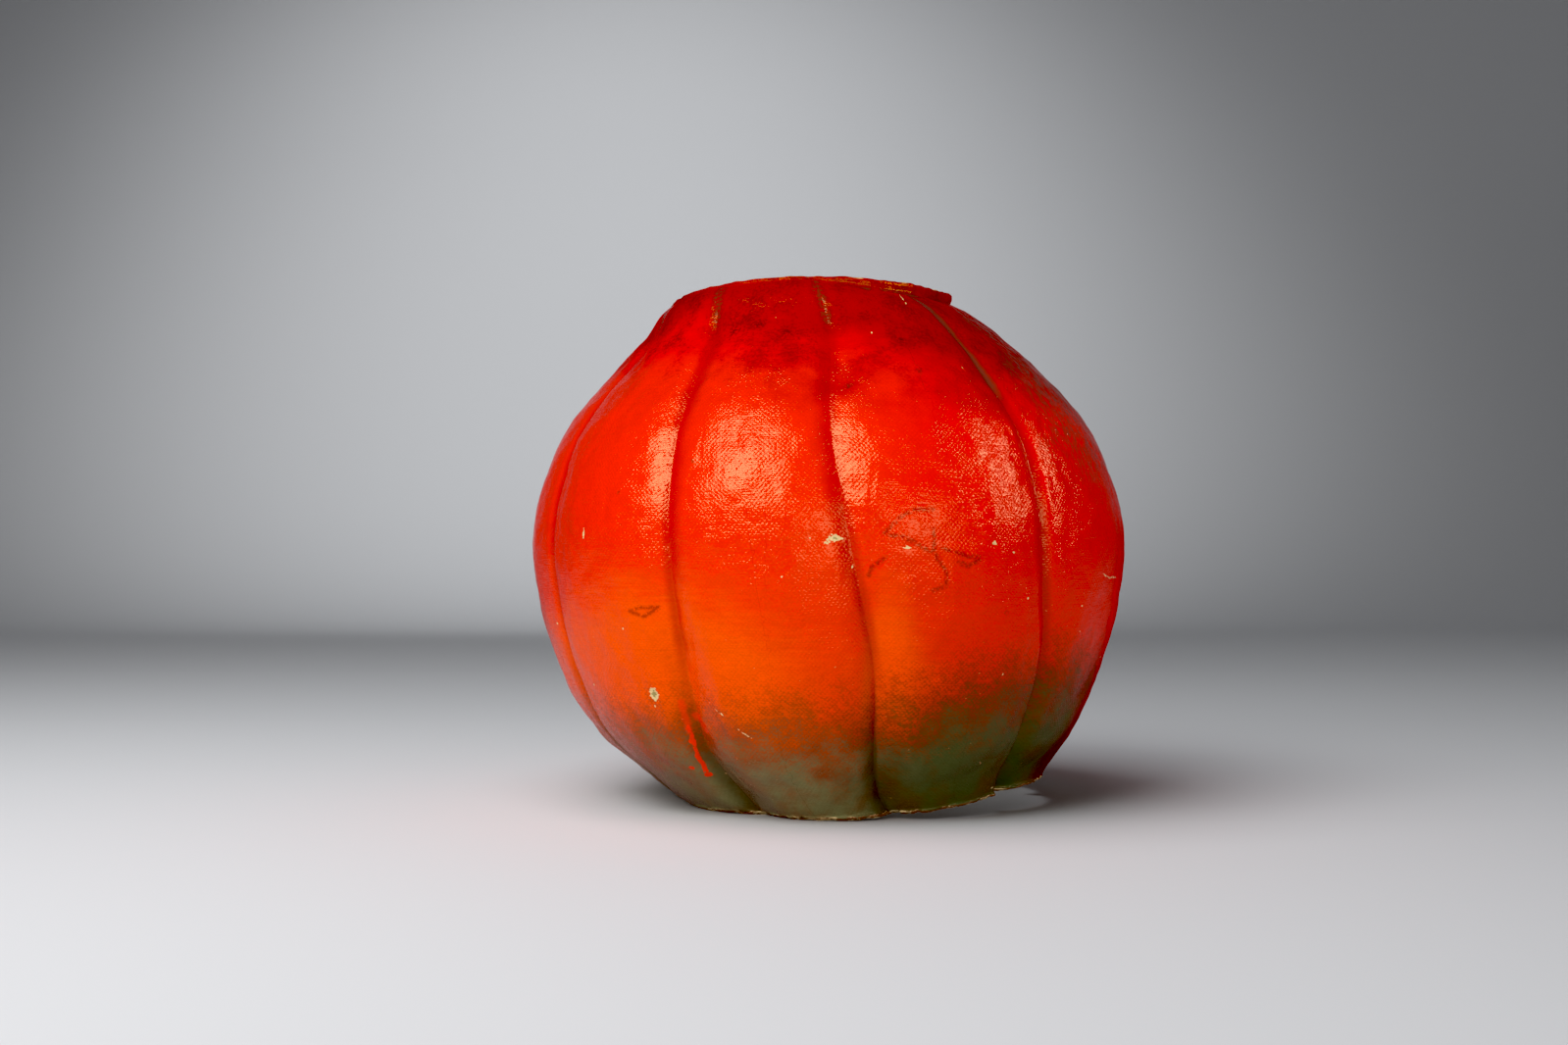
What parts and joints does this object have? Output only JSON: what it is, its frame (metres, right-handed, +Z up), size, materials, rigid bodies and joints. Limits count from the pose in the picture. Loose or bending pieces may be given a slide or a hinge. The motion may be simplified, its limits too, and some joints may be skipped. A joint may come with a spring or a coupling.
{
  "type": "hollow papier-mache pumpkin",
  "caption": "Hollow lobed papier-mache pumpkin shell with painted canvas skin, open at the top inside a low collar and open underneath.",
  "frame": {"origin": "middle of the bounding box on the plane the shell stands on", "axes": "+Z up through the openings, -Y towards the side with the best paint, +X to that side's right"},
  "size_m": [0.296, 0.2962, 0.2556],
  "materials": {
    "painted_canvas": "scarlet oil paint under gloss varnish on coarse canvas, turning green round the bottom"
  },
  "bodies": {
    "root": {"shell": "painted_canvas"}
  },
  "joints": []
}
